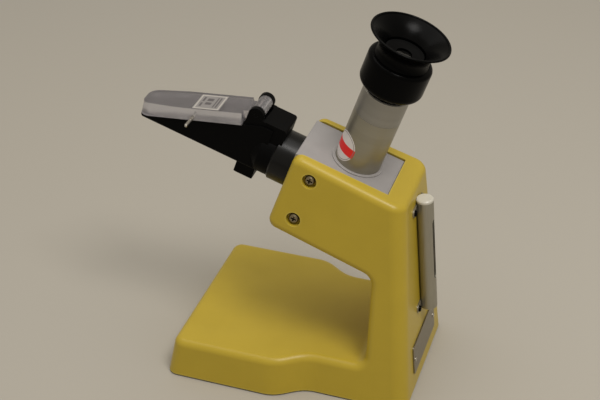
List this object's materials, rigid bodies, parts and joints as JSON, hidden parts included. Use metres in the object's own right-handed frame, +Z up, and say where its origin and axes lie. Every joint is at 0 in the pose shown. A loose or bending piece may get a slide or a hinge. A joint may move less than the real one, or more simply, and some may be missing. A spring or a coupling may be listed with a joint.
{
  "type": "bench refractometer",
  "caption": "Bench hand refractometer: prism head with hinged clear cover, right-angled focusing eyepiece and thermometer on a moulded yellow stand.",
  "frame": {"origin": "middle of the foot print, on the underside of the base pad", "axes": "+Z up, +X towards the user (back of the column), +Y across"},
  "size_m": [0.1683, 0.1066, 0.2109],
  "materials": {
    "yellow_moulding": "satin cast plastic, slightly cloudy",
    "pad_rubber": "matt",
    "block_paint": "light grey satin paint",
    "silvered_glass": "front-silvered",
    "screw_steel": "bright zinc",
    "barrel_aluminium": "satin, natural anodised",
    "black_metal": "black satin",
    "lens_glass": "polished",
    "grip_rubber": "matt",
    "prism_glass": "polished",
    "clear_acrylic": "clear, slightly grey",
    "pin_steel": "turned",
    "guard_metal": "brushed",
    "white_plastic": "white",
    "plate_metal": "satin, blank"
  },
  "bodies": {
    "stand": {"stand_moulding": "yellow_moulding", "base_pad": "pad_rubber", "optical_block": "block_paint", "fold_mirror": "silvered_glass", "block_screws": "screw_steel", "foot_ring": "barrel_aluminium", "barrel_tube": "barrel_aluminium", "reticle": "lens_glass", "reticle_ring": "black_metal", "barrel_sleeve": "barrel_aluminium", "focus_neck": "black_metal", "guide_pin": "pin_steel", "head_collar": "black_metal", "prism_body": "black_metal", "measuring_prism": "prism_glass", "prism_seal": "pad_rubber", "objective_lens": "lens_glass", "objective_ring": "black_metal", "hinge_pin": "pin_steel", "thermometer_guard": "guard_metal", "guard_cap": "white_plastic", "guard_plug": "black_metal", "thermometer": "lens_glass", "thermometer_scale": "white_plastic", "guard_tabs": "guard_metal", "tab_screws": "screw_steel", "nameplate": "plate_metal", "nameplate_pins": "pin_steel"},
    "carriage": {"lens_carriage": "black_metal", "eye_lens": "lens_glass", "eye_lens_ring": "black_metal", "field_lens": "lens_glass", "field_lens_ring": "black_metal"},
    "focus": {"focus_ring": "grip_rubber", "eyecup": "grip_rubber"},
    "cover": {"cover_plate": "clear_acrylic", "lift_pin": "pin_steel"},
    "calibration": {"calibration_screw": "screw_steel"}
  },
  "joints": [
    {"name": "cover_hinge", "type": "hinge", "parent": "stand", "child": "cover", "pos_m": [-0.02722, 0, 0.15086], "axis": [0, 1, 0], "range_deg": [0, 110]},
    {"name": "lens_slide", "type": "slide", "parent": "stand", "child": "carriage", "axis": [0.319, 0, 0.9478], "range_m": [-0.002, 0.002]},
    {"name": "focus_turn", "type": "hinge", "parent": "carriage", "child": "focus", "pos_m": [0.04489, 0, 0.18547], "axis": [0.319, 0, 0.9478], "range_deg": [-180, 180]},
    {"name": "calibration_turn", "type": "hinge", "parent": "stand", "child": "calibration", "pos_m": [-0.03604, 0, 0.11352], "axis": [0.319, 0, 0.9478], "range_deg": [-180, 180]}
  ],
  "couplings": [
    {"joint": "lens_slide", "follows": "focus_turn", "m_per_rad": 0.00063662}
  ]
}
